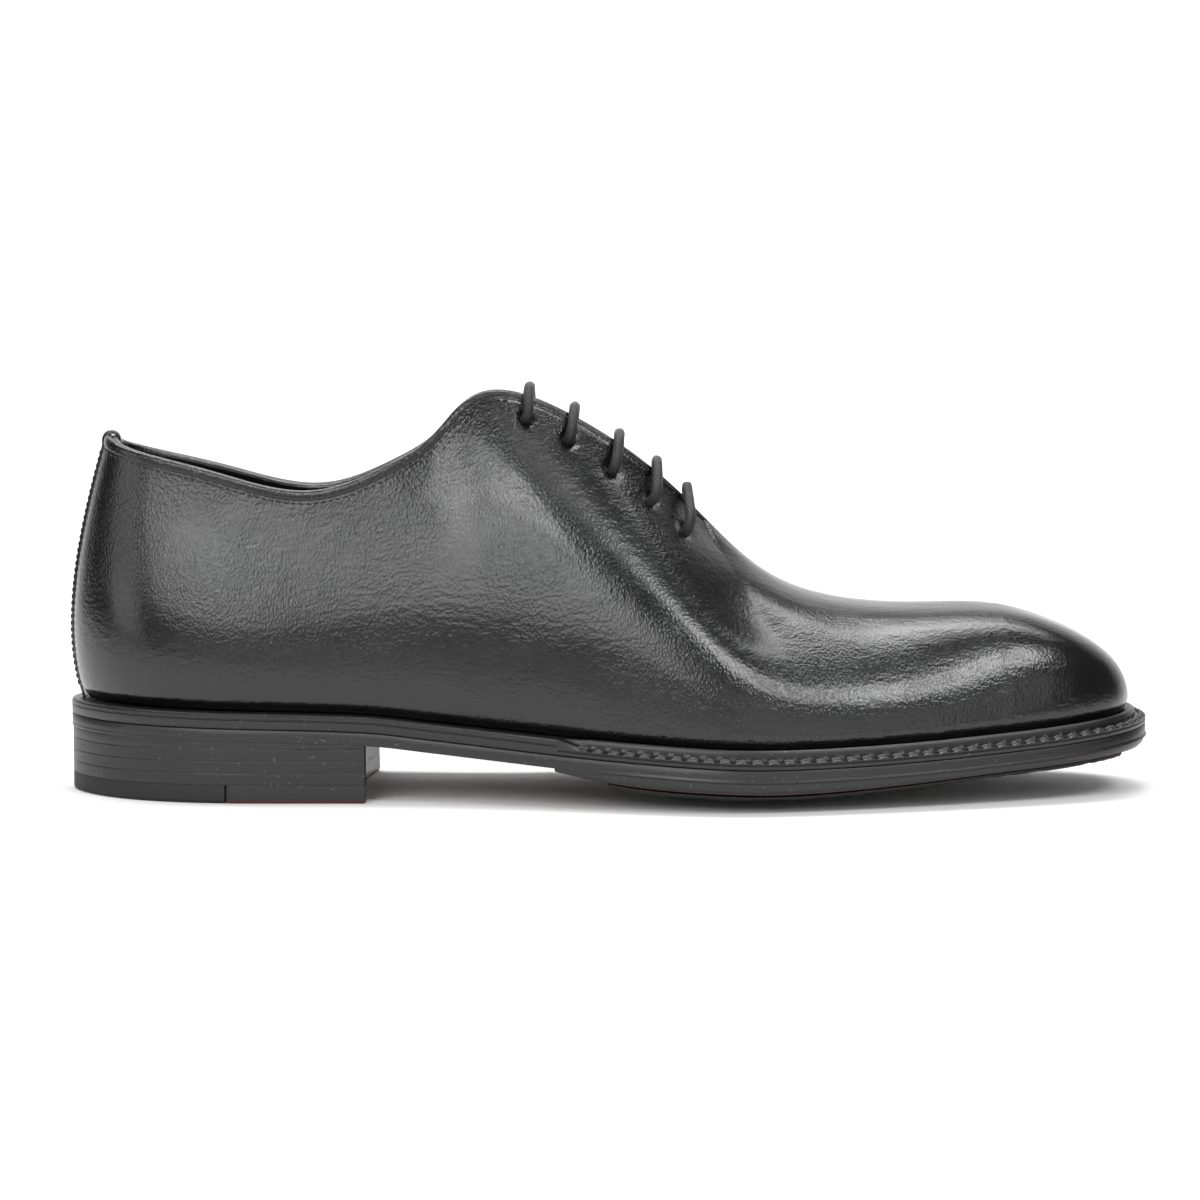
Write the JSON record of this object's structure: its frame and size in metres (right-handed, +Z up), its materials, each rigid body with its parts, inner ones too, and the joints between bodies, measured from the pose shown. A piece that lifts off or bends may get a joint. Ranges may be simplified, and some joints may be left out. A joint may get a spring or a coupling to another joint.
{
  "type": "leather oxford shoe",
  "caption": "Right-foot whole-cut leather oxford shoe with a stitched welt, stacked heel, closed lacing and a tongue that swings inwards.",
  "frame": {"origin": "on the floor, midway between the back of the heel and the tip of the welt, and midway between the two sides of the welt", "axes": "+X towards the toe, +Y towards the inner (medial) side of the foot, +Z up"},
  "size_m": [0.306, 0.1074, 0.1153],
  "materials": {
    "black_calf": "polished fine-grained calf, semi-gloss",
    "burgundy_lining": "smooth vegetable-tanned lining, low sheen",
    "waxed_lace": "round braided waxed cotton",
    "lace_tip": "smooth sleeve",
    "black_thread": "waxed thread",
    "stiffener_leather": "raw split leather",
    "eyelet_metal": "black enamel",
    "insole_leather": "raw vegetable-tanned shoulder",
    "canvas_rib": "woven canvas",
    "shank_steel": "rolled steel",
    "cork_filler": "granulated cork",
    "welt_leather": "black edge ink, burnished",
    "sole_leather": "burgundy stained underside, black inked edges",
    "tread_rubber": "fine matt rubber",
    "heel_leather": "stacked leather, black inked and burnished",
    "nail_steel": "plain steel"
  },
  "bodies": {
    "shoe": {"upper": "black_calf", "back_strip": "black_calf", "topline_binding": "black_calf", "topline_stitching": "black_thread", "back_strip_stitching": "black_thread", "quarter_lining": "burgundy_lining", "vamp_lining": "burgundy_lining", "heel_counter": "stiffener_leather", "toe_puff": "stiffener_leather", "side_stays": "stiffener_leather", "facing_stays": "stiffener_leather", "blind_eyelets": "eyelet_metal", "tongue_anchor": "black_calf", "lace": "waxed_lace", "lace_aglets": "lace_tip", "insole": "insole_leather", "insole_rib": "canvas_rib", "sock_liner": "burgundy_lining", "shank": "shank_steel", "bottom_filler": "cork_filler", "welt": "welt_leather", "welt_stitching": "black_thread", "heel_rand": "welt_leather", "outsole": "sole_leather", "half_sole": "sole_leather", "tread_insert": "tread_rubber", "heel_base": "heel_leather", "heel_lift_1": "heel_leather", "heel_lift_2": "heel_leather", "heel_lift_3": "heel_leather", "heel_top_piece": "sole_leather", "heel_rubber_tip": "tread_rubber", "heel_nails": "nail_steel"},
    "tongue": {"tongue": "black_calf", "tongue_lining": "burgundy_lining"}
  },
  "joints": [
    {"name": "tongue_hinge", "type": "hinge", "parent": "shoe", "child": "tongue", "pos_m": [0.0257, 0, 0.0678], "axis": [0, -1, 0], "range_deg": [0, 12]}
  ]
}
